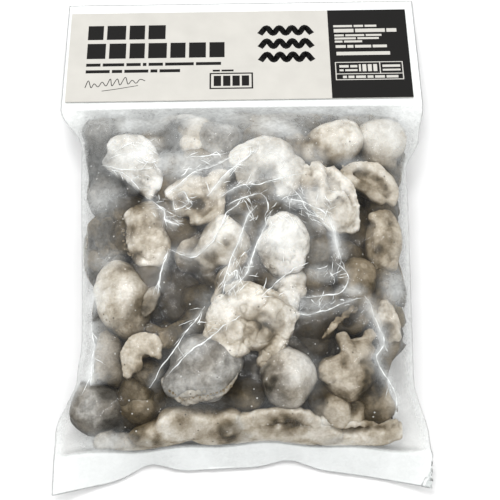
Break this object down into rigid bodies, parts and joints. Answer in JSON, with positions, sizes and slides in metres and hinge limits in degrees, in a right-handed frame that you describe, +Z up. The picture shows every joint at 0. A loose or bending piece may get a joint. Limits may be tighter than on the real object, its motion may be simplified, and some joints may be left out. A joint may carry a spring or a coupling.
{
  "type": "bag of frozen baby octopus",
  "caption": "Sealed pillow bag of clear film filled with frozen baby octopus, with a flat header that carries a printed paper label.",
  "frame": {"origin": "on the table under the middle of the bag's box", "axes": "+Y from the lower seal towards the header, +Z up from the table through the printed side, +X to the right as the label is read"},
  "size_m": [0.18, 0.256, 0.0464],
  "materials": {
    "clear_film": "clear glossy plastic film, milky at its folds and seals",
    "label_paper": "smooth uncoated paper with dark print",
    "octopus": "wet frozen flesh with a thin ice glaze"
  },
  "bodies": {
    "root": {"film_bag": "clear_film", "label": "label_paper"}
  },
  "joints": []
}
